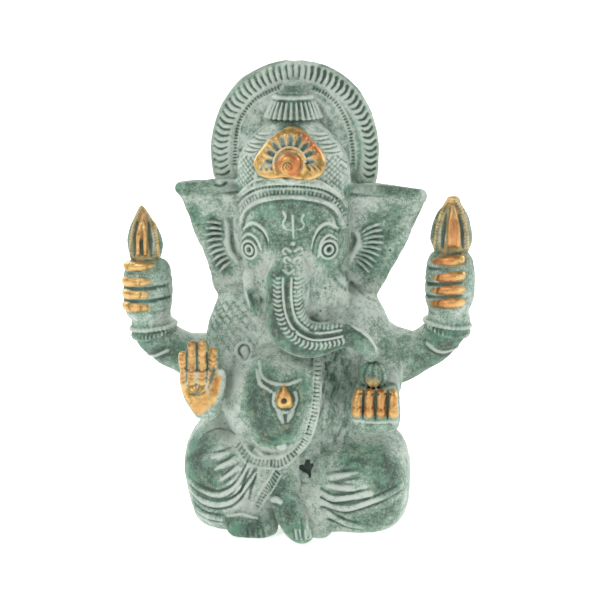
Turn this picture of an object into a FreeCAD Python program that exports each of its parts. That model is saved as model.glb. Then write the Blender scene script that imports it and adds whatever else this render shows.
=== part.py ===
"""A cast brass figure of a seated elephant-headed deity, 150 mm high, in millimetres.

+Z is up, the figure faces -Y, and its own right hand is on the -X side.
The origin is the middle of the base. Right and left in the names are the figure's own.
Each node is one cast or brazed element, and neighbours meet face to face.
"""

import FreeCAD
import Part
import math
import os

Vector = FreeCAD.Vector

# Driving dimensions
HEIGHT = 150.0            # base to the top of the halo
AXIS_X = -2.0             # the head and body stand a little towards the figure's right
HEAD_HALF_WIDTH = 17.8
HEAD_HALF_DEPTH = 15.5
CROWN_BASE_Z = 107.0
HALO_HALF_WIDTH = 27.6
HALO_CENTRE_X = -2.8
HALO_HALF_HEIGHT = 30.2
HALO_SQUARENESS = 2.1     # 2 is a plain ellipse
HALO_FRONT_Y = 9.0
HALO_THICKNESS = 3.6
FIELD_HALF_WIDTH = 16.8   # the raised field on the halo's front
FIELD_HALF_HEIGHT = 26.0
EAR_BACK_Y = 5.5
EAR_THICKNESS = 4.0
FIST_HALF_WIDTH = 8.1
ARM_RADIUS = 6.7
TRUNK_RADIUS = 6.8
BELLY_RADII = (19.0, 18.0, 19.0)
BELLY_CENTRE = (-6.0, -6.0, 42.0)
WALL = 5.0                # thickness of the hollow body's wall
CAVITY_TOP_Z = 62.0
THREAD_RADIUS = 1.4       # wax threads laid on as bands
SECTION_POINTS = 20       # points round a lofted section

UP = Vector(0, 0, 1)
FRONT = Vector(0, -1, 0)


# Shape helpers

def section(centre, across, along, half_width, half_depth, squareness=2.0):
    """A closed wire: an ellipse, or a rounder box where squareness is above 2."""
    points = []
    for i in range(SECTION_POINTS):
        angle = 2 * math.pi * i / SECTION_POINTS
        c, s = math.cos(angle), math.sin(angle)
        u = math.copysign(abs(c) ** (2 / squareness), c) * half_width
        v = math.copysign(abs(s) ** (2 / squareness), s) * half_depth
        points.append(Vector(centre) + across * u + along * v)
    curve = Part.BSplineCurve()
    knots = [i / SECTION_POINTS for i in range(SECTION_POINTS + 1)]
    curve.interpolate(Points=points, PeriodicFlag=True, Parameters=knots)
    return Part.Wire(curve.toShape())


def loft(wires):
    return Part.makeLoft(wires, True, False)


def stack(rows, squareness=2.0):
    """A solid through level sections, each (z, x, y, half width, half depth)."""
    return loft([section(Vector(x, y, z), Vector(1, 0, 0), Vector(0, 1, 0), a, b, squareness)
                 for z, x, y, a, b in rows])


def frames(points):
    """A direction and two cross directions at each point of a path, without twist."""
    made = []
    across = Vector(1, 0, 0)
    for i, point in enumerate(points):
        ahead = points[min(i + 1, len(points) - 1)]
        behind = points[max(i - 1, 0)]
        direction = (ahead - behind).normalize()
        if i == 0 and abs(direction.x) > 0.8:
            across = Vector(0, 1, 0)
        across = (across - direction * across.dot(direction)).normalize()
        made.append((direction, across, direction.cross(across)))
    return made


def limb(stations, flatness=1.0):
    """A round solid along stations (x, y, z, radius), closed by a small dome at each end."""
    path = Part.BSplineCurve()
    path.interpolate(Points=[Vector(x, y, z) for x, y, z, _ in stations],
                     Parameters=[float(i) for i in range(len(stations))])
    places, radii = [], []
    steps = 3
    for i in range(len(stations) - 1):
        for k in range(steps):
            share = k / steps
            places.append(path.value(i + share))
            radii.append(stations[i][3] * (1 - share) + stations[i + 1][3] * share)
    places.append(path.value(len(stations) - 1))
    radii.append(stations[-1][3])
    turned = frames(places)
    wires = []
    for share, drop in ((0.95, 0.30), (0.7, 0.72)):
        wires.append((places[0] - turned[0][0] * radii[0] * share, turned[0], radii[0] * drop))
    for place, turn, radius in zip(places, turned, radii):
        wires.append((place, turn, radius))
    for share, drop in ((0.7, 0.72), (0.95, 0.30)):
        wires.append((places[-1] + turned[-1][0] * radii[-1] * share, turned[-1], radii[-1] * drop))
    return loft([section(p, t[1], t[2], r, r * flatness) for p, t, r in wires])


def ellipsoid(centre, radii):
    ball = Part.makeSphere(1.0)
    scale = FreeCAD.Matrix()
    scale.scale(*radii)
    return ball.transformGeometry(scale).translated(Vector(*centre))


def ring(centre, axis, radius, thread):
    """A round bangle about an axis."""
    return Part.makeTorus(radius, thread, Vector(*centre), Vector(*axis))


def front_y(host, x, z):
    """Where a line from the front first meets the host."""
    line = Part.makeLine(Vector(x, -60, z), Vector(x, 60, z))
    return host.common(line).BoundBox.YMin


def thread_on(host, path, radius):
    """A round wax thread laid on the front of a host along (x, z) points."""
    points = [Vector(x, front_y(host, x, z), z) for x, z in path]
    curve = Part.BSplineCurve()
    curve.interpolate(points)
    spine = Part.Wire(curve.toShape())
    start = curve.value(curve.FirstParameter)
    direction = curve.tangent(curve.FirstParameter)[0]
    profile = Part.Wire(Part.makeCircle(radius, start, direction))
    return spine.makePipeShell([profile], True, False)


def prism(outline, y0, y1):
    """An outline of (x, z) points, smoothed into one closed curve, between two depths."""
    curve = Part.BSplineCurve()
    curve.interpolate(Points=[Vector(x, y0, z) for x, z in outline], PeriodicFlag=True)
    return Part.Face(Part.Wire(curve.toShape())).extrude(Vector(0, y1 - y0, 0))


def largest(shape):
    """The biggest solid of a shape, since a cut may leave slivers."""
    return max(shape.Solids, key=lambda solid: solid.Volume)


# Body

def make_torso():
    """Seat, chest and shoulders in one casting, with the round belly."""
    trunk_of_body = stack([
        (0, -1.5, 6, 17, 18), (8, -1.5, 6, 20, 20), (20, -1.5, 6.5, 23, 20),
        (35, -2, 6, 25, 18), (50, -2, 5.5, 24.5, 16), (62, -2, 5, 25, 14),
        (70, -2, 5, 23.5, 12.5), (78, -2, 4.5, 17, 10), (84, -2, 4, 11.5, 8.5),
        (90, -2, 3.5, 10, 8)], 2.3)
    return trunk_of_body.fuse(ellipsoid(BELLY_CENTRE, BELLY_RADII))


def hollow(torso):
    """The same casting with the core removed, open underneath."""
    core = stack([
        (-1, -1.5, 6, 17 - WALL, 18 - WALL), (10, -1.5, 6, 20 - WALL, 20 - WALL),
        (30, -2, 6, 24 - WALL, 18 - WALL), (50, -2, 5.5, 23 - WALL, 15 - WALL),
        (CAVITY_TOP_Z, -2, 5, 20 - WALL, 12 - WALL)], 2.3)
    return torso.cut(core)


def make_right_leg():
    return stack([
        (0, -19, -0.5, 13.9, 16), (4, -19.1, -1, 16, 18), (11, -19.3, -1.5, 17.6, 19.5),
        (19, -19.7, -1.5, 18.3, 19.5), (26, -21.2, -0.5, 15.8, 17), (30, -23.4, 1, 11.4, 12.4),
        (34, -24.6, 2.5, 7.4, 8.5), (37, -25, 3.5, 3.6, 4.5)], 2.5)


def make_left_leg():
    return stack([
        (0, 17.5, -0.5, 14.5, 16), (4, 17.8, -1, 17, 18), (11, 17.8, -1.5, 18.2, 19.5),
        (18, 17.8, -1.5, 18.4, 19.5), (25, 19.5, -0.5, 15.2, 17), (29, 21.5, 1, 10.5, 12),
        (31, 23, 2, 4, 6)], 2.5)


def make_right_foot():
    """The tucked foot, lying across the front of the base."""
    lying = stack([
        (0, -14, -19.5, 7.8, 5.5), (3, -14.2, -19.5, 8.6, 6.4), (6, -14.4, -18.5, 7.6, 6),
        (8.5, -14.8, -17, 4.5, 4)], 2.4)
    return lying


def make_left_shin():
    """The shin and foot that hang at the middle of the front."""
    leg = limb([(-3, -14, 22, 5), (-3.6, -19.5, 16, 5.2), (-1.2, -24.6, 9, 5.1), (2.6, -27.8, 4.4, 4.7)])
    sole = Part.makeBox(60, 60, 20, Vector(-30, -50, -20))
    return leg.cut(sole)


def make_pleat_drape():
    return stack([
        (0, 7.4, -18.4, 5, 6.2), (5, 6.8, -18, 4.4, 6), (11, 5.8, -17, 3.4, 5.5),
        (16, 5, -15, 2, 4)], 2.4)


# Head

def make_head():
    skull = stack([
        (74, AXIS_X, -3, 9, 8), (79, AXIS_X, -3, 13, 11.5), (85, AXIS_X, -2.5, 15.8, 13.8),
        (93, AXIS_X, -2, HEAD_HALF_WIDTH, 15), (101, AXIS_X, -1, 18.2, HEAD_HALF_DEPTH),
        (CROWN_BASE_Z, AXIS_X, -0.5, 18, HEAD_HALF_DEPTH)], 2.1)
    left_cheek = ellipsoid((6.5, -7.5, 78), (9.5, 9, 11))
    right_cheek = ellipsoid((-11, -6.5, 79), (7, 8.5, 9))
    return skull.fuse(left_cheek).fuse(right_cheek)


def make_crown():
    return stack([
        (CROWN_BASE_Z, AXIS_X, -0.5, 18, HEAD_HALF_DEPTH), (113, -2.3, 0, 18.2, 15.5),
        (119, -2.5, 0.5, 17.6, 14.6), (125, -2.7, 1.5, 14.8, 12.6), (129, -2.7, 2.5, 10.5, 9.6),
        (132, -2.7, 3, 7.4, 7.2), (134, -2.7, 3, 6.5, 6.2)])


def make_crown_skirt():
    """The fluted tier near the top of the crown."""
    return stack([
        (132.4, -2.7, 3, 9.2, 8.6), (135.2, -2.7, 3, 7.9, 7.4), (138.4, -2.7, 3, 5.9, 5.6)])


def make_crown_finial():
    """A flat lip with a low cone on it."""
    return stack([
        (138.4, -2.9, 3, 6.3, 5.8), (139.6, -2.9, 3, 6.2, 5.7), (140.2, -2.9, 3, 5, 4.8),
        (142.6, -3, 3, 2.6, 2.6), (144.4, -3.1, 3, 0.6, 0.6)])


def make_halo():
    """An upright oval plate behind the crown, with a lower raised field on its front."""
    centre = Vector(HALO_CENTRE_X, 0, HEIGHT - HALO_HALF_HEIGHT)
    plate = loft([
        section(centre + FRONT * -(HALO_FRONT_Y + depth), Vector(1, 0, 0), UP,
                HALO_HALF_WIDTH - inset, HALO_HALF_HEIGHT - inset, HALO_SQUARENESS)
        for depth, inset in ((0, 1.0), (0.9, 0), (HALO_THICKNESS - 0.9, 0), (HALO_THICKNESS, 1.0))])
    field = loft([
        section(Vector(HALO_CENTRE_X, HALO_FRONT_Y - rise, 116), Vector(1, 0, 0), UP,
                FIELD_HALF_WIDTH - inset, FIELD_HALF_HEIGHT - inset)
        for rise, inset in ((-1, 0), (0.6, 0), (1.4, 1.2))])
    lowest = Part.makeBox(100, 40, 60, Vector(-50, -10, 96 - 60))
    return plate.fuse(field).cut(lowest)


def make_ear(tip, lobe, root_top, root_low, belly):
    """A flat ear with a rolled upper rim, from (x, z) points of its outline."""
    front = EAR_BACK_Y - EAR_THICKNESS
    points = [Vector(x, front, z) for x, z in (root_top, tip, belly, lobe, root_low)]
    upper = Part.BSplineCurve()
    upper.interpolate([points[0], (points[0] + points[1]) * 0.5 + UP * 1.1, points[1]])
    outer = Part.BSplineCurve()
    outer.interpolate([points[1], points[2], points[3]])
    edges = [upper.toShape(), outer.toShape(), Part.makeLine(points[3], points[4]),
             Part.makeLine(points[4], points[0])]
    flat = Part.Face(Part.Wire(edges)).extrude(Vector(0, EAR_THICKNESS, 0))
    y = front + 1.2
    middle = ((root_top[0] + tip[0]) / 2, (root_top[1] + tip[1]) / 2 + 0.6)
    rim = limb([(root_top[0], y, root_top[1] - 1.9, 2.9), (middle[0], y, middle[1] - 1.9, 2.7),
                (tip[0] * 0.96, y, tip[1] - 2.3, 1.9)])
    return flat.fuse(rim)


def make_trunk():
    """From the brow down the middle, then across to the sweet in the lower left hand."""
    return limb([
        (-2, -8, 98, 6.5), (-2, -12.5, 90, 7.6), (-2.3, -16.5, 82.5, 7.4), (-2.8, -19, 75, 6.9),
        (-1.5, -20.5, 68.5, TRUNK_RADIUS),
        (4, -21.5, 65.2, 6.2), (10.5, -22, 66.2, 5), (17, -22, 66.8, 3.7), (21.8, -21.8, 64.6, 3),
        (24.4, -21.6, 60.5, 2.6)])


def make_right_tusk():
    return limb([(-15.2, -11, 83, 2.6), (-14, -14.5, 77.5, 2.3), (-12.4, -16.5, 72.5, 1.4)])


# Arms and hands

def make_lower_right_arm():
    return limb([(-20, 2, 70, 8), (-23, -0.5, 60, 8.2), (-25.6, -4, 49, 7.3), (-28.4, -11.5, 43.8, 5.8),
                 (-29.8, -14.5, 43.8, 5.1)])


def make_lower_left_arm():
    return limb([(18, 2, 69, 8.5), (23, 0.5, 60, 8), (26, -3.5, 51, 7.4), (25.6, -9, 45.5, 6.8),
                 (25.4, -12.6, 43.6, 6.1)])


def make_upper_right_arm():
    return limb([(-18, 11, 51.4, 10.2), (-31, 8.5, 51.3, 8.5), (-39.4, 5.5, 54, 7), (-46, 2.5, 58.6, 6.6),
                 (-49, 0.8, 64.4, 6.9)])


def make_upper_left_arm():
    return limb([(17, 9, 57.6, 13.6), (28.4, 8, 53.9, 10.6), (39, 5, 56.6, ARM_RADIUS),
                 (45.8, 2, 62.4, 6.6), (48, 0.8, 68, 7)])


def make_upper_hand(x, z0, z1):
    """A closed fist, seen as a barrel between two heights."""
    w = FIST_HALF_WIDTH
    rows = ((0, 0.84), (0.22, 0.96), (0.45, 1.0), (0.7, 0.97), (0.9, 0.85), (1.0, 0.62))
    return stack([(z0 + (z1 - z0) * share, x, 0, w * wide, w * wide * 0.95)
                  for share, wide in rows], 2.3)


def make_bud(x, tip_x, z0, z1, half_width, fullness):
    """A lotus bud, flattened front to back, rising from the fist on a short stem."""
    rows = ((-0.28, 0.4), (-0.03, 0.5), (0.01, 0.84), (0.14, 0.96), (0.3, 1.0), (0.45, 0.92),
            (0.6, 0.68 + 0.16 * fullness), (0.75, 0.42 + 0.22 * fullness),
            (0.88, 0.2 + 0.22 * fullness), (1.0, 0.06))
    return stack([(z0 + (z1 - z0) * share, x + (tip_x - x) * max(share, 0) ** 2, 0,
                   half_width * wide, half_width * wide * 0.78) for share, wide in rows])


def make_lower_right_hand():
    """The open hand raised in blessing, palm to the front."""
    palm = stack([
        (38, -28.8, -17.5, 3.2, 3.2), (42, -29.5, -18.2, 5.2, 3.6), (47, -30.4, -18.6, 6.5, 3.4),
        (52, -30.8, -18.8, 6.6, 2.9), (54, -31, -18.8, 6, 2.4)], 2.6)
    fingers = ((-36.1, 60.2, 1.45), (-33.0, 63.6, 1.75), (-29.6, 63.9, 1.75), (-25.9, 61.6, 1.6))
    hand = palm
    for x, top, radius in fingers:
        knuckle = -30.7 + (x + 30.7) * 0.86
        hand = hand.fuse(limb([(knuckle, -18.8, 49.5, radius), (x, -19, top - radius, radius)]))
    thumb = limb([(-27, -19.4, 44, 2.6), (-24.6, -19.6, 49, 2.2), (-24, -19.6, 53.2, 1.7)])
    return hand.fuse(thumb)


def make_lower_left_hand():
    """The fist that holds the sweet, with its four fingers upright at the front."""
    fist = stack([
        (35.6, 25.5, -18, 6.6, 4.6), (37.5, 25.5, -18.4, 7.6, 5.6), (43, 25.5, -18.6, 7.8, 5.8),
        (48.5, 25.6, -18.4, 7.2, 5.4), (50.4, 25.7, -18, 6.2, 4.4)], 3.0)
    hand = fist
    finger_pitch = 3.8
    for i in range(4):
        x = 25.5 + (i - 1.5) * finger_pitch
        top = 49.4 - 0.6 * abs(i - 2)
        hand = hand.fuse(stack([
            (38.0, x, -22.2, 0.8, 0.9), (39.2, x, -22.6, 1.5, 1.9), (44, x, -22.9, 1.75, 2.3),
            (top - 1.2, x, -22.2, 1.5, 2.2), (top, x, -21.8, 0.8, 1.3)]))
    return hand


def make_sweet():
    return ellipsoid((24.9, -20.2, 54), (4.6, 4.4, 4.4))


# Laid-on ornament

def make_brow_band(host):
    """The lower of two beaded threads, down past both temples."""
    return thread_on(host, [(-18.4, 98.5), (-16.9, 103.6), (-11, 108), (-2.2, 109.4), (6.8, 108.2),
                            (12.2, 104.4), (14.4, 98.5)], THREAD_RADIUS * 0.75)


def make_crown_band(host):
    return thread_on(host, [(-18.6, 108), (-15.5, 111.2), (-9, 113.6), (-2.3, 114.4), (5, 113.6),
                            (11, 111.2), (14, 108)], THREAD_RADIUS * 0.9)


def make_crown_ornament(host_crown):
    """A lobed fan plate over the middle of the crown, following its curve."""
    outline = [(-13.6, 118.4), (-11.8, 116.2), (-2.4, 115.9), (7.2, 116.2), (8.7, 118.4), (7.4, 123.6),
               (3, 128.2), (-2.4, 131), (-7.6, 128.6), (-12.4, 123)]
    shell = stack([(111, -2.3, -0.6, 20, 17.6), (116, -2.4, -0.4, 20, 17.4), (121, -2.5, 0.2, 19, 16.2),
                   (126, -2.7, 1, 16.5, 14.4), (130, -2.7, 2, 13.5, 12), (134, -2.7, 2.5, 11, 9.6)])
    return shell.common(prism(outline, -30, -5)).cut(host_crown)


def make_crown_jewel():
    return ellipsoid((-2.4, -16.6, 120), (3.7, 2.4, 3.9))


def make_navel_ornament(host):
    y = front_y(host, -3.2, 46.5)
    drop = ellipsoid((-3.2, y + 0.2, 45.8), (2.8, 1.7, 3.1))
    point = limb([(-3.2, y + 0.4, 48, 1.5), (-3.4, y + 0.6, 50.2, 0.7)])
    return drop.fuse(point)


def make_sash(host):
    """The cord round the lower edge of the belly."""
    return thread_on(host, [(6.6, 58), (6.7, 50), (6, 41), (3.1, 31.5), (-2.2, 25.2), (-8.4, 23),
                            (-14.6, 24.4), (-19.4, 28.6), (-23, 35)], THREAD_RADIUS * 1.1)


def build():
    """Every node, each one cut back to the faces of the nodes placed before it."""
    torso = make_torso()
    head = make_head()
    crown = make_crown()
    crowned_head = head.fuse(crown)
    raw = [
        ("torso", torso),
        ("head", head),
        ("crown", crown),
        ("crown_skirt", make_crown_skirt()),
        ("crown_finial", make_crown_finial()),
        ("halo", make_halo()),
        ("trunk", make_trunk()),
        ("right_ear", make_ear((-41.7, 110.8), (-28.5, 75), (-17, 110.8), (-14, 74), (-33.8, 92.8))),
        ("left_ear", make_ear((40.5, 109.4), (24.6, 75.3), (13, 110.4), (10, 74), (34.4, 93))),
        ("right_leg", make_right_leg()),
        ("left_leg", make_left_leg()),
        ("left_shin", make_left_shin()),
        ("right_foot", make_right_foot()),
        ("pleat_drape", make_pleat_drape()),
        ("lower_right_arm", make_lower_right_arm()),
        ("lower_left_arm", make_lower_left_arm()),
        ("upper_right_arm", make_upper_right_arm()),
        ("upper_left_arm", make_upper_left_arm()),
        ("right_bud", make_bud(-50.6, -52, 86.2, 104.2, 5.8, 0.35)),
        ("left_bud", make_bud(48.4, 48.8, 90.6, 108.3, 6.7, 0.85)),
        ("upper_right_hand", make_upper_hand(-50, 66.4, 86.2)),
        ("upper_left_hand", make_upper_hand(48.1, 70.4, 90.6)),
        ("sweet", make_sweet()),
        ("lower_right_hand", make_lower_right_hand()),
        ("lower_left_hand", make_lower_left_hand()),
        ("right_tusk", make_right_tusk()),
        ("crown_jewel", make_crown_jewel()),
        ("crown_ornament", make_crown_ornament(crown)),
        ("crown_band", make_crown_band(crowned_head)),
        ("brow_band", make_brow_band(crowned_head)),
        ("navel_ornament", make_navel_ornament(torso)),
        ("sash", make_sash(torso)),
        ("upper_right_bracelet", ring((-48.6, 1.2, 62.6), (-0.3, -0.2, 1), 6.9, 1.0)),
        ("upper_left_bracelet", ring((47.5, 1.4, 65.4), (0.3, -0.25, 1), 7.0, 1.0)),
    ]
    placed = {}
    for name, shape in raw:
        for other in placed.values():
            if shape.BoundBox.intersect(other.BoundBox):
                shape = shape.cut(other)
        placed[name] = largest(shape)
    placed["torso"] = largest(hollow(torso))
    return placed


def centred(parts):
    """Moves every node together so that the origin is the middle of the base."""
    box = FreeCAD.BoundBox()
    for shape in parts.values():
        box.add(shape.optimalBoundingBox(False))
    shift = Vector(-(box.XMin + box.XMax) / 2, -(box.YMin + box.YMax) / 2, -box.ZMin)
    return {name: shape.translated(shift) for name, shape in parts.items()}


os.makedirs("parts", exist_ok=True)
for name, shape in centred(build()).items():
    shape.exportStep("parts/" + name + ".step")
    print(name, "valid" if shape.isValid() else "INVALID", round(shape.Volume))
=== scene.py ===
"""The looks of a cast and patinated brass figurine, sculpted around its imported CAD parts.

The CAD solids are read into a volume, softened like a casting, chased with strokes that are laid
on the surface, and cut back into one closed piece for each CAD node. Sculpting is in millimetres.
"""

import math
from math import cos, pi, sin

import bpy
import numpy as np
import openvdb
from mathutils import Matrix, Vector


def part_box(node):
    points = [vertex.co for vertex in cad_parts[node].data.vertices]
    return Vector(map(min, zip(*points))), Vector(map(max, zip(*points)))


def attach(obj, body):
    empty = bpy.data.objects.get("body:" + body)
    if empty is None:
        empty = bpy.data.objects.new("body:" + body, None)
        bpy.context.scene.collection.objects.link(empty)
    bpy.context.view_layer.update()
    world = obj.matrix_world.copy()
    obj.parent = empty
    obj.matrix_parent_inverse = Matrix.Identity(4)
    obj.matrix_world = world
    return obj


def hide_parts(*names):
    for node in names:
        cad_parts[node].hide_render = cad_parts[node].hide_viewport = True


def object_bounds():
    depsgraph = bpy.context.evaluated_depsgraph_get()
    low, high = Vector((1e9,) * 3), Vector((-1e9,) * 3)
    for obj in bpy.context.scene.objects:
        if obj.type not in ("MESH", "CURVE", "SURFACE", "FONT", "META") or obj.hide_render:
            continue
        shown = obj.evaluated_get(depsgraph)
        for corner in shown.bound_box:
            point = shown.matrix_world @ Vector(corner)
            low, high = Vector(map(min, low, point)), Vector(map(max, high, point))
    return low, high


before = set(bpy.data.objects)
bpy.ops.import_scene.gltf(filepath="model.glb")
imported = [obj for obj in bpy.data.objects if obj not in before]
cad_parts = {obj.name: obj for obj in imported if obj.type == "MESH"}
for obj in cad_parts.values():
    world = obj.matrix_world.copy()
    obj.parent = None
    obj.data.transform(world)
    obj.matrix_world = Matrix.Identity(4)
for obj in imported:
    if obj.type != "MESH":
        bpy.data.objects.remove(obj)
cad_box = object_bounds()

MM = 0.001
COARSE = 0.45             # voxel of the whole figure
FINE = 0.28               # voxel of a chased piece
PLAIN = 0.4               # voxel of a plain piece
BAND = 4.0                # distances are kept up to this far from a surface
SKIRT = 1.4               # how far a piece runs on under its neighbours
SKIRT_SLOPE = 0.45        # how steeply that skirt dives
MARGIN = 2.2              # room for strokes around a piece's box
SMOOTHING = 0.55          # last blur of a piece, in voxels
UNEVEN_HEIGHT = 0.09      # the casting's waviness
ROUGH_HEIGHT = 0.055      # and its finer roughness
FAR = 9.0                 # stands for a point that no stroke reaches
LINE_FADE = 0.22          # how quickly paint ends beside a ridge or a groove

# Nodes whose edges stay crisp, and nodes with little chasing on them.
CRISP = ["crown_skirt", "crown_finial", "crown_ornament", "crown_jewel", "right_bud", "left_bud",
         "lower_right_hand", "lower_left_hand", "right_tusk", "navel_ornament", "crown_band", "brow_band",
         "sash", "upper_right_bracelet", "upper_left_bracelet", "sweet"]
COARSER = ["torso", "right_leg", "left_leg", "upper_right_arm", "upper_left_arm", "lower_left_arm"]
GILDED = ["crown_ornament", "crown_jewel", "navel_ornament"]


# Places on the figure, taken from the CAD parts' boxes

def corners(node):
    low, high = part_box(node)
    return np.array(low) / MM, np.array(high) / MM


BOXES = {node: corners(node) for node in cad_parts}
AXIS_X = (BOXES["head"][0][0] + BOXES["head"][1][0]) / 2
FIGURE_LOW = np.array(cad_box[0]) / MM
FIGURE_HIGH = np.array(cad_box[1]) / MM
SCALE = FIGURE_HIGH[2] / 150.0


def middle(node):
    low, high = BOXES[node]
    return (low + high) / 2


def spread(node):
    """Low corner, high corner, centre and half size of a node's box."""
    low, high = BOXES[node]
    return low, high, (low + high) / 2, (high - low) / 2


def outward(angle):
    """The level unit vector at an angle from +X."""
    return np.array([cos(angle), sin(angle), 0])


# Volumes

class Block:
    """Voxel values in a box. first is the lowest voxel's index in the shared lattice."""

    def __init__(self, low, high, step, fill=BAND):
        self.step = step
        self.first = np.floor(np.array(low) / step).astype(int)
        last = np.ceil(np.array(high) / step).astype(int)
        self.values = np.full(last - self.first + 1, fill, np.float32)

    def axis(self, k):
        return (self.first[k] + np.arange(self.values.shape[k])) * self.step

    def window(self, low, high):
        """Slices that cover a box, or None where the box misses the block."""
        slices = []
        for k in range(3):
            start = max(int(math.floor(low[k] / self.step)) - self.first[k], 0)
            stop = min(int(math.ceil(high[k] / self.step)) - self.first[k] + 1, self.values.shape[k])
            if stop <= start:
                return None
            slices.append(slice(start, stop))
        return tuple(slices)

    def sample(self, points):
        """Values at points, by linear interpolation."""
        place = points / self.step - self.first
        limit = np.array(self.values.shape) - 2
        base = np.clip(np.floor(place).astype(int), 0, limit)
        f = np.clip(place - base, 0, 1)
        total = np.zeros(len(points))
        for corner in np.ndindex(2, 2, 2):
            weight = np.prod(np.where(corner, f, 1 - f), axis=1)
            i, j, k = (base + corner).T
            total += weight * self.values[i, j, k]
        return total


def blurred(values, sigma):
    """Gaussian blur; sigma is in voxels."""
    radius = max(1, int(round(3 * sigma)))
    weights = np.exp(-0.5 * (np.arange(-radius, radius + 1) / sigma) ** 2)
    weights = (weights / weights.sum()).astype(np.float32)
    for axis in range(3):
        pad = [(0, 0)] * 3
        pad[axis] = (radius, radius)
        padded = np.pad(values, pad, mode="edge")
        size = values.shape[axis]
        values = np.zeros_like(values)
        for k, weight in enumerate(weights):
            cut = [slice(None)] * 3
            cut[axis] = slice(k, k + size)
            values += weight * padded[tuple(cut)]
    return values


def refined(block, low, high, step):
    """A finer block over a box, by cubic interpolation."""
    fine = Block(low, high, step)
    values = block.values
    for axis in range(3):
        place = fine.axis(axis) / block.step - block.first[axis]
        base = np.floor(place).astype(int)
        f = place - base
        weights = (((-0.5 * f + 1) * f - 0.5) * f, (1.5 * f - 2.5) * f * f + 1,
                   ((-1.5 * f + 2) * f + 0.5) * f, (0.5 * f - 0.5) * f * f)
        shape = [1, 1, 1]
        shape[axis] = -1
        last = values.shape[axis] - 1
        values = sum(np.take(values, np.clip(base + k - 1, 0, last), axis=axis)
                     * w.reshape(shape).astype(np.float32) for k, w in enumerate(weights))
    fine.values = values.astype(np.float32)
    return fine


def lesser(a, b, softness):
    """Smooth minimum."""
    h = np.clip(0.5 + 0.5 * (b - a) / softness, 0, 1)
    return b * (1 - h) + a * h - softness * h * (1 - h)


def read_node(name):
    """Signed distance to one CAD node, in a block around it."""
    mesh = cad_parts[name].data
    points = np.zeros(len(mesh.vertices) * 3, np.float32)
    mesh.vertices.foreach_get("co", points)
    mesh.calc_loop_triangles()
    triangles = np.zeros(len(mesh.loop_triangles) * 3, np.int32)
    mesh.loop_triangles.foreach_get("vertices", triangles)
    grid = openvdb.FloatGrid.createLevelSetFromPolygons(
        points.reshape(-1, 3) / MM, triangles=triangles.reshape(-1, 3).astype(np.uint32),
        transform=openvdb.createLinearTransform(COARSE), halfWidth=BAND / COARSE)
    low, high = BOXES[name]
    block = Block(low - BAND, high + BAND, COARSE)
    grid.copyToArray(block.values, ijk=tuple(int(i) for i in block.first))
    return block


def paste_least(whole, part):
    """Keeps the lesser of two blocks wherever they overlap."""
    low = np.maximum(whole.first, part.first)
    high = np.minimum(whole.first + whole.values.shape, part.first + part.values.shape)
    if (low < high).all():
        to, come = (tuple(map(slice, low - b.first, high - b.first)) for b in (whole, part))
        np.minimum(whole.values[to], part.values[come], out=whole.values[to])


NODES = {name: read_node(name) for name in sorted(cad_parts)}


def cast_form():
    """All nodes together, with the soft edges of a casting."""
    pad = 3.0
    soft = Block(FIGURE_LOW - pad, FIGURE_HIGH + pad, COARSE)
    crisp = Block(FIGURE_LOW - pad, FIGURE_HIGH + pad, COARSE)
    for name, block in NODES.items():
        paste_least(crisp if name in CRISP else soft, block)
    soft.values = lesser(blurred(soft.values, 1.0 / COARSE), blurred(crisp.values, 0.4 / COARSE), 0.7)
    return soft


FORM = cast_form()


# Strokes laid on the surface

STROKES = []


def smooth_path(points, spacing):
    """A curve through points (Catmull-Rom), resampled at an even spacing."""
    points = np.array(points, float)
    if len(points) == 1:
        return points
    ends = np.vstack([2 * points[0] - points[1], points, 2 * points[-1] - points[-2]])
    t = np.linspace(0, 1, 16, endpoint=False)[:, None]
    pieces = []
    for i in range(len(points) - 1):
        a, b, c, d = ends[i:i + 4]
        pieces.append(0.5 * (2 * b + (c - a) * t + (2 * a - 5 * b + 4 * c - d) * t ** 2
                             + (3 * b - a - 3 * c + d) * t ** 3))
    dense = np.vstack([*pieces, points[-1:]])
    along = np.concatenate([[0], np.cumsum(np.linalg.norm(np.diff(dense, axis=0), axis=1))])
    count = max(2, int(round(along[-1] / spacing)) + 1)
    even = np.linspace(0, along[-1], count)
    return np.column_stack([np.interp(even, along, dense[:, k]) for k in range(dense.shape[1])])


def normals_at(points):
    step = COARSE
    slope = np.column_stack([
        FORM.sample(points + step * np.eye(3)[k]) - FORM.sample(points - step * np.eye(3)[k])
        for k in range(3)])
    return slope / np.maximum(np.linalg.norm(slope, axis=1, keepdims=True), 1e-6)


def drape(path, side=-1):
    """Drops (x from the axis, z) points on to the form from the front, or from behind with side 1."""
    path = np.atleast_2d(path)
    x, z = AXIS_X + path[:, 0] * SCALE, path[:, 1] * SCALE
    start = FIGURE_LOW[1] - 1 if side < 0 else FIGURE_HIGH[1] + 1
    depth = np.arange(0, FIGURE_HIGH[1] - FIGURE_LOW[1] + 2, 0.3)
    y = start - side * depth
    grid = np.array([[a, b, c] for a, c in zip(x, z) for b in y])
    values = FORM.sample(grid).reshape(len(x), len(y))
    inside = values < 0
    hit = inside.any(axis=1)
    first = np.maximum(inside.argmax(axis=1), 1)
    rows = np.arange(len(x))
    before, after = values[rows, first - 1], values[rows, first]
    share = before / np.maximum(before - after, 1e-6)
    y_hit = y[first - 1] - side * 0.3 * share
    points = np.column_stack([x, y_hit, z])[hit]
    return points, normals_at(points)


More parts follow.
